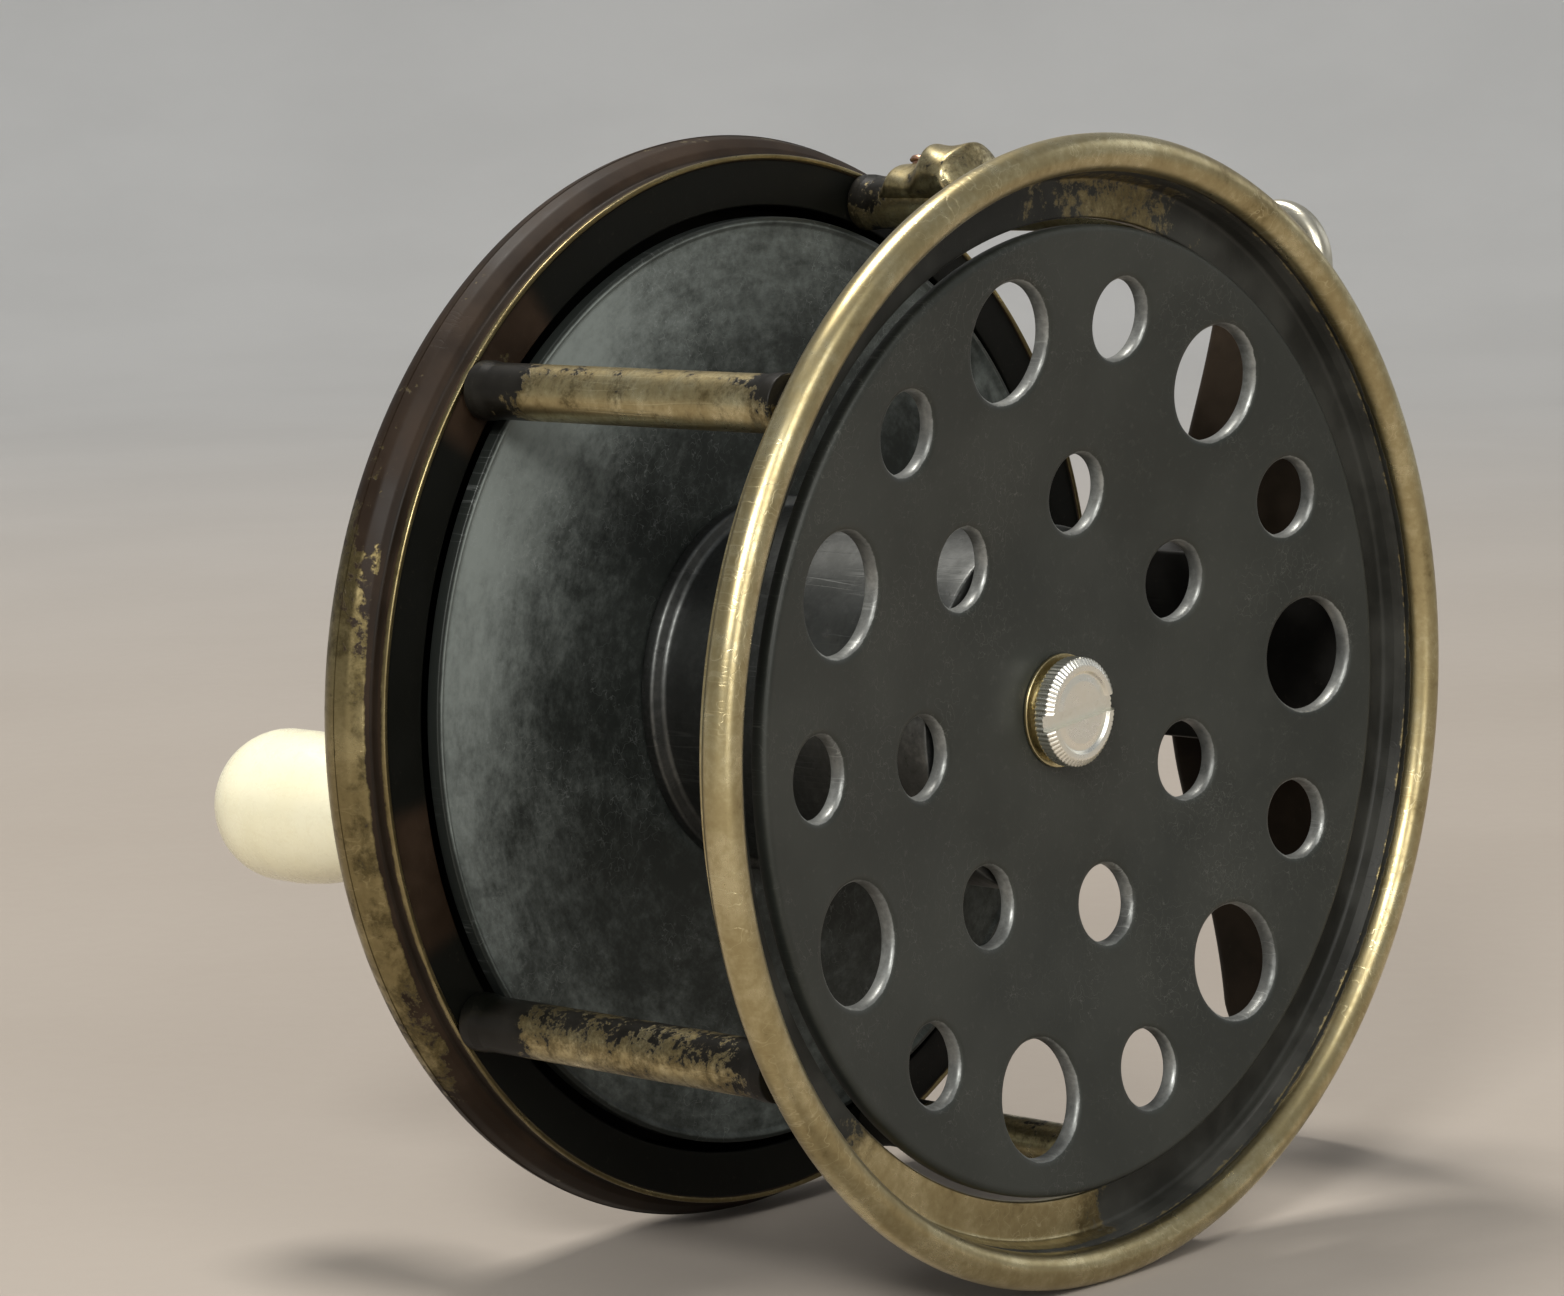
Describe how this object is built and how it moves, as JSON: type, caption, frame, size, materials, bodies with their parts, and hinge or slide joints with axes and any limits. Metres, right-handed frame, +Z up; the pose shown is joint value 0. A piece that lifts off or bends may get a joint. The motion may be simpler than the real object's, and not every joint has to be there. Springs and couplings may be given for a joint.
{
  "type": "fly reel",
  "caption": "Plate-wind fly reel: beaded open ring and dished back plate on pillars, perforated spool, click check, cream handle and rod foot.",
  "frame": {"origin": "middle of the foot's outer face, the face that lies on the rod", "axes": "+Y along the spindle from the open perforated side to the handle side; +Z up with the reel standing on its two rims; +X out of the foot's face, towards the rod"},
  "size_m": [0.0946, 0.0652, 0.0882],
  "materials": {
    "worn_brass": "worn, satin",
    "black_paint": "black paint worn to brass at the edges",
    "dark_alloy": "dark satin anodised",
    "grey_alloy": "chalky oxidised",
    "nickel": "worn nickel plate",
    "steel": "turned",
    "bronze": "turned bronze",
    "copper": "copper rivet",
    "ivory": "polished ivorine"
  },
  "bodies": {
    "frame": {"front_ring": "worn_brass", "back_plate": "black_paint", "pillar_top": "worn_brass", "pillar_left_upper": "worn_brass", "pillar_left_lower": "worn_brass", "pillar_bottom": "worn_brass", "pillar_screw_top": "worn_brass", "pillar_screw_left_upper": "worn_brass", "pillar_screw_left_lower": "worn_brass", "pillar_screw_bottom": "worn_brass", "foot_bridge": "black_paint", "foot": "nickel", "foot_screw_lower": "steel", "foot_screw_upper": "steel", "bridge_screw_lower": "worn_brass", "bridge_screw_upper": "worn_brass", "line_guide_lug": "worn_brass", "line_guide_rivet": "copper", "bearing_bush": "bronze", "pawl_stud": "steel", "click_spring": "steel", "spring_screw": "steel"},
    "spool": {"spool_front_plate": "dark_alloy", "spool_core": "grey_alloy", "spool_back_plate": "grey_alloy", "spindle": "steel", "spindle_washer": "worn_brass", "spindle_nut": "nickel", "click_ratchet": "steel", "thrust_washer": "bronze", "winding_plate": "black_paint", "winding_plate_screw": "nickel", "handle_pin": "steel"},
    "handle": {"handle_knob": "ivory", "handle_washer": "nickel", "handle_screw": "nickel"},
    "click": {"click_pawl": "steel"}
  },
  "joints": [
    {"name": "spool_spin", "type": "hinge", "parent": "frame", "child": "spool", "pos_m": [-0.0505, 0, 0], "axis": [0, 1, 0], "continuous": true},
    {"name": "handle_spin", "type": "hinge", "parent": "spool", "child": "handle", "pos_m": [-0.08103, 0, -0.00852], "axis": [0, 1, 0], "continuous": true},
    {"name": "pawl_rock", "type": "hinge", "parent": "frame", "child": "click", "pos_m": [-0.05529, 0, 0.01474], "axis": [0, 1, 0], "range_deg": [-5, 5], "stiffness_Nm_per_rad": 0.01}
  ]
}
